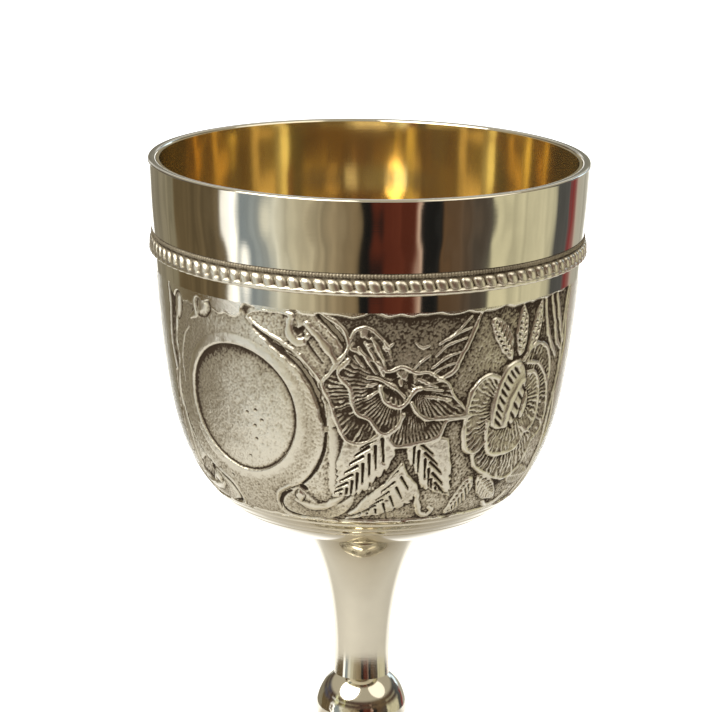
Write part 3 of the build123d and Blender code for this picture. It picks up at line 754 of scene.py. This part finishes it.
def bead_ring(name, radius, bottom, node, material):
    """Beaded wire: a plain roll below, a fine one above and a row of leaning beads between them."""
    columns = round(2 * pi * radius / BEAD_PITCH) * BEAD_COLUMNS
    x = BEAD_PITCH * ((np.arange(columns) % BEAD_COLUMNS) / BEAD_COLUMNS - 0.5)[:, None]
    rise = np.linspace(0, BAND_HEIGHT, 40)[None, :]
    # plain roll, slightly scalloped
    lower = 0.42 + np.sqrt(np.clip(0.4 - (rise - 0.65) ** 2, 0, None)) + 0 * x
    lower += 0.06 * np.cos(2 * pi * (x - 0.5) / BEAD_PITCH) * (lower > 0.5)
    # fine roll with four notches to each bead
    upper = 0.3 + 0.8 * np.sqrt(np.clip(0.2 - (rise - 3.75) ** 2, 0, None)) + 0 * x
    upper -= 0.09 * np.cos(2 * pi * x / BEAD_PITCH * 4) * (upper > 0.4)
    # beads that lean to one side
    lean = x + 0.3 * (rise - 2.2)
    lean = (lean + BEAD_PITCH / 2) % BEAD_PITCH - BEAD_PITCH / 2
    round_off = np.clip(1 - np.abs(lean / 1.2) ** 2.5 - np.abs((rise - 1.7) / 1.45) ** 2.6, 0, None)
    bead = 0.2 + 0.86 * round_off**0.5
    edge = 0.3 * np.clip(np.minimum(rise, BAND_HEIGHT - rise) / 0.15, 0.2, 1) + 0 * x
    height = np.maximum.reduce([lower, upper, bead, edge])
    close = height - blur(height, 2.2, 4.5)
    # hollows darkened as patina, and the upper roll darkened as painted shade of the groove above the beads
    patina_and_shading = np.clip(0.62 + 2.4 * close, 0, 1) * (1 - 0.65 * ease((rise - 2.7) / 0.5))
    back = radius + WIRE_GAP
    outer = np.stack([back + height, bottom + rise + 0 * x], -1)
    ends = np.array([(back, bottom + BAND_HEIGHT), (back, bottom)])
    section = np.concatenate([outer, np.broadcast_to(ends, (columns, 2, 2))], 1)
    shade = np.concatenate([patina_and_shading, np.full((columns, 2), 0.3)], 1)
    creases = np.zeros(section.shape[1], bool)
    creases[[0, -3, -2, -1]] = True
    angles = 360 * np.arange(columns) / columns
    ring = sweep(name, turned(section, angles), True, None, creases, {"patina_and_shading": shade})
    place(ring, material, "silvered_wire", node)


# ---- turned pieces ----
def cup_line():
    """Outer face of the cup from the rim down to its seat on the stem."""
    points = [(42.5, 0), (41.95, -9), (41.2, -17.5), (40.6, -25.5), (38.9, -40), (36.2, -52.5),
              (30.4, -63.6), (21.8, -70.2), (13, -73)]
    return spline(points, (-0.08, -1), (-1, -0.12)) + (0, RIM)


def dome_line():
    """Outer face of the foot's dome from its crown out to the beaded wire."""
    crown = (FOOT_SEAT_RADIUS, FOOT_TOP)
    points = [crown, (20.2, 29.3), (27.4, 26), (33.6, 21.2), (37.8, 15.2), (39.4, 10.6)]
    return spline(points, (1, -0.14), (0.16, -1))


def inset(line, depth):
    """The line moved in by a constant depth."""
    return line - depth * sideways(line)


def cup_body(material):
    """The cup without its relief: mirror bands, lip, bed of the relief and turned underside."""
    outer, inner = cup_line(), inset(cup_line(), CUP_WALL)
    band_radius, band_bottom = CUP_BAND
    lip_base = RIM - LIP_ROUNDING
    start = np.interp(-RELIEF_TOP, -outer[:, 1], lengths(outer))
    reach = np.arange(start + RELIEF_DEPTH, lengths(outer)[-1], 0.12)
    under, out = along(outer, reach)
    lines = sum(np.exp(-(((reach - start - at) / 0.22) ** 2)) for at in TURNED_LINES)
    under = under - 0.16 * lines[:, None] * out
    bed = along(outer, np.linspace(start, start + RELIEF_DEPTH, 60))
    bed = bed[0] - RECESS * bed[1]
    wall_top = outer[0, 0] - LIP_ROUNDING, outer[0, 0] - CUP_WALL + LIP_ROUNDING
    floor = CUP_SEAT + CUP_FLOOR
    body = lathe(
        "cup_body",
        (ROD_HOLE_RADIUS, CUP_SEAT), under[::-1], bed[::-1],
        cut(outer, band_bottom, RELIEF_TOP)[::-1],
        (band_radius, band_bottom), (band_radius, band_bottom + BAND_HEIGHT),
        cut(outer, lip_base, band_bottom + BAND_HEIGHT)[::-1],
        arc((wall_top[0], lip_base), LIP_ROUNDING, 10, 90),
        arc((wall_top[1], lip_base), LIP_ROUNDING, 90, 170),
        cut(inner, lip_base, floor), (ROD_HOLE_RADIUS, floor),
        count=BODY_COUNT,
    )
    place(body, material, "silvered_casting", "cup_shell")
    return start


def cup_liner(material):
    """Thin gilt bowl inside the cup."""
    outer = inset(cup_line(), CUP_WALL + LINER_GAP)
    inner = inset(outer, LINER_WALL)
    top = RIM - 0.3
    liner = lathe(
        "cup_liner_gilt",
        (AXIS, LINER_FLOOR), cut(outer, top, LINER_FLOOR)[::-1],
        cut(inner, top, LINER_FLOOR + LINER_WALL), (AXIS, LINER_FLOOR + LINER_WALL),
        count=BODY_COUNT,
    )
    place(liner, material, "gilt", "cup_liner")


def stem(name, wide_end, direction, node, material):
    """Trumpet stem; direction is -1 where it narrows downwards and 1 where it narrows upwards."""
    points = [(12.7, 0), (9.95, 3.5), (8.4, 7), (6.1, 16.2), (5.38, 25.5), (NECK_RADIUS, STEM_HEIGHT)]
    flare = spline(points, (-1, 0.9), (0.05, 1), step=0.3)
    radius, depth = COUPLING_SPACE
    bore = [(BORE_RADIUS, STEM_HEIGHT), (BORE_RADIUS, depth), (radius, depth), (radius, 0)]
    section = np.concatenate([flare, bore]) * (1, direction) + (0, wide_end)
    piece = lathe(name, section[::direction])
    place(piece, material, "silvered_turning", node)


def ball(material):
    """Ball knop with flats where the stems meet it."""
    turn = 90 - np.degrees(np.arccos(BALL_SEAT / BALL_RADIUS))
    ends = [(BORE_RADIUS, BALL_SEAT), (BORE_RADIUS, -BALL_SEAT)]
    section = np.concatenate([arc((0, 0), BALL_RADIUS, -turn, turn, 48), ends]) + (0, BALL_CENTRE)
    place(lathe("knop_ball", section), material, "silvered_turning", "knop")


def foot_body(material):
    """The foot without its relief: flat rim, flare, bed of the relief, crown and hollow underside."""
    outer, inner = dome_line(), inset(dome_line(), FOOT_WALL)
    band_radius, band_bottom = FOOT_BAND
    start, depth = FOOT_RELIEF
    reach = lengths(outer)[-1]
    near = along(outer, np.linspace(0, start, 12))[0]
    bed, out = along(outer, np.linspace(start, start + depth, 50))
    far = along(outer, np.linspace(start + depth, reach, 16))[0]
    flare = spline([(39.4, band_bottom), (FOOT_RADIUS - 0.6, FOOT_EDGE)], (0.35, -1), (1, -0.25), step=0.2)
    skirt = inner[-1, 0]
    spread = spline([(skirt, band_bottom - 0.5), (FOOT_RADIUS - FOOT_FACE, 1.2)], (0.35, -1), (1, -0.4), 0.3)
    inside = inner[(inner[:, 1] < CROWN_UNDERSIDE) & (inner[:, 0] > FOOT_SEAT_RADIUS)]
    body = lathe(
        "foot_body",
        (FOOT_RADIUS - FOOT_FACE, 0), (FOOT_RADIUS, 0),
        (FOOT_RADIUS, FOOT_EDGE - 0.2), (FOOT_RADIUS - 0.2, FOOT_EDGE), flare[::-1],
        (band_radius, band_bottom), (band_radius, band_bottom + BAND_HEIGHT),
        far[::-1], (bed - RECESS * out)[::-1], near[::-1],
        (ROD_HOLE_RADIUS, FOOT_TOP), (ROD_HOLE_RADIUS, CROWN_UNDERSIDE),
        (FOOT_SEAT_RADIUS, CROWN_UNDERSIDE), inside, spread,
        count=BODY_COUNT,
    )
    place(body, material, "silvered_casting", "foot")


def threaded_rod(material):
    """Tie rod with a rolled thread on the end that carries the foot's nut."""
    radius, bottom, top = ROD
    z = np.append(np.arange(bottom, bottom + THREAD_LENGTH, THREAD_PITCH / 8), [top - 0.6, top])
    angles = 360 * np.arange(48) / 48
    wave = (z[None, :] - bottom) / THREAD_PITCH - angles[:, None] / 360
    groove = THREAD_DEPTH * np.abs(2 * (wave % 1) - 1) * (z < bottom + THREAD_LENGTH - 0.5)
    tip = np.minimum(np.clip(z - bottom, 0, 0.6), np.clip(top - z, 0, 0.6)) - 0.6
    outer = np.stack([radius + np.minimum(-groove, tip), np.broadcast_to(z, wave.shape)], -1)
    middle = np.broadcast_to(np.array([(AXIS, top), (AXIS, bottom)]), (48, 2, 2))
    section = np.concatenate([outer, middle], 1)
    creases = np.zeros(section.shape[1], bool)
    creases[[0, -3]] = True
    rod = sweep("tie_rod_threaded", turned(section, angles), True, None, creases)
    place(rod, material, "zinc_steel", "tie_rod")


# ---- materials ----
def principled(name, **values):
    """New material and its shader, with some of its inputs set."""
    made = bpy.data.materials.new(name)
    made.use_nodes = True
    shader = made.node_tree.nodes["Principled BSDF"]
    for label, value in values.items():
        shader.inputs[label.replace("_", " ")].default_value = value
    return made, shader


def node(tree, kind, settings=None, **inputs):
    """Adds a shader node; inputs are values or the sockets to link, spaces in their names given as _."""
    made = tree.nodes.new("ShaderNode" + kind)
    for label, value in (settings or {}).items():
        setattr(made, label, value)
    for label, value in inputs.items():
        key = int(label[1:]) if label[0] == "i" and label[1:].isdigit() else label.replace("_", " ")
        if isinstance(value, bpy.types.NodeSocket):
            tree.links.new(value, made.inputs[key])
        else:
            made.inputs[key].default_value = value
    return made


def noise(tree, where, scale, detail, **options):
    """Cloudy noise between 0 and 1."""
    return node(tree, "TexNoise", Vector=where, Scale=scale, Detail=detail, **options).outputs["Fac"]


def scaled(tree, value, gain, shift=0.0):
    """The value times gain, plus shift."""
    return node(tree, "Math", {"operation": "MULTIPLY_ADD"}, i0=value, i1=gain, i2=shift).outputs[0]


def product(tree, first, second):
    """Two colours multiplied."""
    return node(tree, "VectorMath", {"operation": "MULTIPLY"}, i0=first, i1=second).outputs[0]


def feed(tree, shader, **sockets):
    """Links sockets to the shader's inputs, spaces in their names given as _."""
    for label, socket in sockets.items():
        tree.links.new(socket, shader.inputs[label.replace("_", " ")])


def ramp(tree, factor, stops):
    """Colour ramp with (position, colour) stops; a single number is a grey."""
    made = node(tree, "ValToRGB", Fac=factor)
    elements = made.color_ramp.elements
    for k, (position, colour) in enumerate(stops):
        element = elements[k] if k < 2 else elements.new(position)
        element.position = position
        colour = (colour,) * 3 if isinstance(colour, (int, float)) else colour
        element.color = (*colour, 1)
    return made.outputs["Color"]


def turned_silver(name, colour, roughness, metallic=1.0):
    """Polished plate with faint lathe lines and cloudy wear."""
    made, shader = principled(name, Metallic=metallic)
    tree = made.node_tree
    place_in = node(tree, "TexCoord").outputs["Object"]
    stretched = node(tree, "Mapping", Vector=place_in, Scale=(60, 60, 5200)).outputs[0]
    lines = noise(tree, stretched, 1.0, 2.0)
    clouds = noise(tree, place_in, 70.0, 4.0)
    dark = tuple(0.86 * part for part in colour)
    tone = ramp(tree, clouds, [(0.3, dark), (0.62, colour)])
    rough = node(tree, "MapRange", Value=clouds, From_Min=0.3, From_Max=0.7,
                 To_Min=roughness * 1.5, To_Max=roughness * 0.8).outputs[0]
    bump = node(tree, "Bump", Height=lines, Strength=0.05, Distance=0.00003).outputs[0]
    feed(tree, shader, Base_Color=tone, Roughness=rough, Normal=bump)
    return made


def cast_silver(name, low, high, roughness, pitted):
    """Cast plate: darkened recesses, brighter high points and fine pits, with painted shade and highlights
    taken from the same patina attribute.
    """
    made, shader = principled(name)
    tree = made.node_tree
    place_in = node(tree, "TexCoord").outputs["Object"]
    patina_and_shading = node(tree, "Attribute", {"attribute_name": "patina_and_shading"}).outputs["Fac"]
    worn = node(tree, "Attribute", {"attribute_name": "polish"}).outputs["Fac"]
    grain = noise(tree, place_in, 3000.0, 3.0, Roughness=0.6)
    clouds = noise(tree, place_in, 90.0, 3.0)
    mixed = node(tree, "Math", i0=patina_and_shading, i1=scaled(tree, grain, 0.38, -0.19)).outputs[0]
    mixed = node(tree, "Math", i0=mixed, i1=scaled(tree, clouds, 0.3, -0.15)).outputs[0]
    middle = tuple((0.44 * a + 0.56 * b) * warm for a, b, warm in zip(low, high, (1, 0.95, 0.86)))
    tone = ramp(tree, mixed, [(0.05, low), (0.38, middle), (0.72, high)])
    rough = ramp(tree, mixed, [(0.1, 0.7), (0.5, roughness), (1.0, roughness * 0.7)])
    rough = node(tree, "Mix", Factor=worn, A=rough, B=0.16).outputs[0]
    metal = ramp(tree, mixed, [(0.05, 0.35), (0.35, 1.0)])
    bump = node(tree, "Bump", Height=grain, Strength=0.45 * pitted, Distance=0.00012).outputs[0]
    feed(tree, shader, Base_Color=tone, Roughness=rough, Metallic=metal, Normal=bump)
    return made


def plain_metal(name, colour, roughness):
    """Unpolished metal with slightly uneven colour."""
    made, shader = principled(name, Metallic=1.0, Roughness=roughness)
    tree = made.node_tree
    place_in = node(tree, "TexCoord").outputs["Object"]
    clouds = noise(tree, place_in, 240.0, 4.0)
    dark = tuple(0.7 * part for part in colour)
    feed(tree, shader, Base_Color=ramp(tree, clouds, [(0.3, dark), (0.65, colour)]))
    return made


# ---- surroundings ----
def from_camera_side(right, away, height):
    """Point in metres from mm to the right of the axis, away from the camera and up."""
    turn = radians(CAMERA_SIDE)
    x = right * cos(turn) - away * sin(turn)
    y = right * sin(turn) + away * cos(turn)
    return (x * MM, y * MM, height * MM)


def add_camera():
    """Camera of the main view, slightly above the rim."""
    data = bpy.data.cameras.new("camera")
    data.lens, data.sensor_width = LENS, SENSOR
    data.clip_start, data.clip_end = 0.01, 20
    camera = link(bpy.data.objects.new("camera", data))
    right, away, above = CAMERA_OFFSET
    spin = Matrix.Rotation(radians(CAMERA_SIDE), 4, "Z")
    pitch = Matrix.Rotation(radians(90 - CAMERA_DOWN), 4, "X")
    roll = Matrix.Rotation(radians(CAMERA_ROLL), 4, "Z")
    place_at = Matrix.Translation(from_camera_side(right, away, RIM + above))
    camera.matrix_world = place_at @ spin @ pitch @ roll
    bpy.context.scene.camera = camera


def add_world():
    """Room of vertical pale, dark and warm strips under a soft ceiling."""
    world = bpy.data.worlds.new("room")
    world.use_nodes = True
    bpy.context.scene.world = world
    tree = world.node_tree
    place_in = node(tree, "TexCoord").outputs["Generated"]
    way = node(tree, "SeparateXYZ", Vector=place_in).outputs
    front = scaled(tree, way["Y"], -1.0)
    turn = node(tree, "Math", {"operation": "ARCTAN2"}, i0=way["X"], i1=front).outputs[0]
    wobble = scaled(tree, noise(tree, place_in, 7.0, 1.0), WOBBLE, 0.5 - WOBBLE / 2 - CAMERA_SIDE / 360)
    share = node(tree, "Math", {"operation": "FRACT"}, i0=scaled(tree, turn, 0.5 / pi, wobble)).outputs[0]
    streaks = node(tree, "TexNoise", {"noise_dimensions": "1D"}, W=share, Scale=60.0, Detail=4.0)
    streaks = ramp(tree, streaks.outputs["Fac"], [(0.3, 0.7), (0.7, 1.1)])
    rings = []
    for stops in (WALLS, CEILING):
        ring = ramp(tree, share, [((degrees + 180) / 360, colour) for degrees, colour in stops])
        rings.append(product(tree, ring, streaks))
    walls, lamps = rings
    above = ramp(tree, way["Z"], CEILING_RISE)
    room = node(tree, "Mix", {"data_type": "RGBA"}, i0=above, i6=walls, i7=lamps).outputs[2]
    high = ramp(tree, way["Z"], SKY_RISE)
    room = node(tree, "Mix", {"data_type": "RGBA"}, i0=high, i6=room, i7=(*SKY, 1)).outputs[2]
    tree.links.new(room, tree.nodes["Background"].inputs["Color"])


def add_light(name, right, away, height, size, power, colour):
    """Round soft light that faces the cup."""
    data = bpy.data.lights.new(name, "AREA")
    data.shape, data.size, data.energy, data.color = "DISK", size, power, colour
    light = link(bpy.data.objects.new(name, data))
    spot = Vector(from_camera_side(right, away, height))
    target = Vector((0, 0, (RIM - 30) * MM))
    light.location = spot
    light.rotation_euler = (spot - target).to_track_quat("Z", "Y").to_euler()


def add_floor():
    """Round white table under the chalice that glows with painted light, brighter behind it, with a painted
    shadow round the foot.
    """
    made, shader = principled("table", Roughness=0.6)
    tree = made.node_tree
    place_in = node(tree, "TexCoord").outputs["Object"]
    away = tuple(part / MM for part in from_camera_side(0, 1, 0))
    behind = node(tree, "VectorMath", {"operation": "DOT_PRODUCT"}, i0=place_in, i1=away).outputs["Value"]
    far = node(tree, "VectorMath", {"operation": "LENGTH"}, i0=place_in).outputs["Value"]
    # painted light: the table glows, dimmer on the camera's side, and a painted shadow darkens it near the
    # axis
    glow = product(tree, ramp(tree, behind, TABLE_GLOW), ramp(tree, far, TABLE_SHADOW))
    feed(tree, shader, Emission_Color=glow)
    shader.inputs["Base Color"].default_value = TABLE_COLOUR
    shader.inputs["Emission Strength"].default_value = 1.0
    bpy.ops.mesh.primitive_circle_add(vertices=96, radius=TABLE_RADIUS, fill_type="NGON")
    floor = bpy.context.object
    floor.name = "table"
    floor.data.materials.append(made)


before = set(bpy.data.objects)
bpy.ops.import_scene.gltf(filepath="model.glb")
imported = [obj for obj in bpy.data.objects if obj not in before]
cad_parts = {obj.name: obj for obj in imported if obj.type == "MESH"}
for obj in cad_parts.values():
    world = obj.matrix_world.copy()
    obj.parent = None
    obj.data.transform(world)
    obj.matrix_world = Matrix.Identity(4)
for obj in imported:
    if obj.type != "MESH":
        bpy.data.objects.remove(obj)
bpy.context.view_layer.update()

polished = turned_silver("polished_silver", (0.88, 0.83, 0.69), 0.06)
turning = turned_silver("turned_silver", (0.88, 0.83, 0.69), 0.08)
gilt = turned_silver("gilt", (0.95, 0.77, 0.42), 0.06, 0.97)
casting = cast_silver("cast_silver", (0.055, 0.034, 0.018), (0.94, 0.9, 0.77), 0.4, 1.0)
wire = cast_silver("wire_silver", (0.06, 0.04, 0.02), (0.94, 0.89, 0.75), 0.4, 0.2)
brass = plain_metal("plain_brass", (0.72, 0.52, 0.24), 0.35)
zinc = plain_metal("zinc_plate", (0.6, 0.61, 0.6), 0.32)

relief_start = cup_body(polished)
relief_skins(
    "cup_relief", cup_relief(), cup_line(), relief_start,
    sectors=4, shift=26, nodes=("cup_shell", "medallion_frames"), material=casting,
)
cup_liner(gilt)
bead_ring("cup_beads", *CUP_BAND, "cup_bead_ring", wire)
stem("stem_upper", CUP_SEAT, -1, "upper_stem", turning)
ball(turning)
stem("stem_lower", FOOT_TOP, 1, "lower_stem", turning)
foot_body(polished)
relief_skins(
    "foot_relief", foot_relief(), dome_line(), FOOT_RELIEF[0],
    sectors=3, shift=30, nodes=("foot",), material=casting,
)
bead_ring("foot_beads", *FOOT_BAND, "foot_bead_ring", wire)
threaded_rod(zinc)
for name in ("liner_stud", "stem_coupling", "foot_washer", "spring_washer", "foot_nut"):
    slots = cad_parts[name].data.materials
    slots.clear()
    slots.append(zinc if name.endswith(("washer", "nut")) else brass)

add_camera()
add_world()
add_light("key", right=-300, away=-300, height=560, size=0.6, power=3.3, colour=(1, 0.98, 0.94))
add_light("fill", right=380, away=-200, height=540, size=0.5, power=0.6, colour=(1, 0.95, 0.88))
add_floor()
bpy.context.scene.view_settings.view_transform = "Standard"
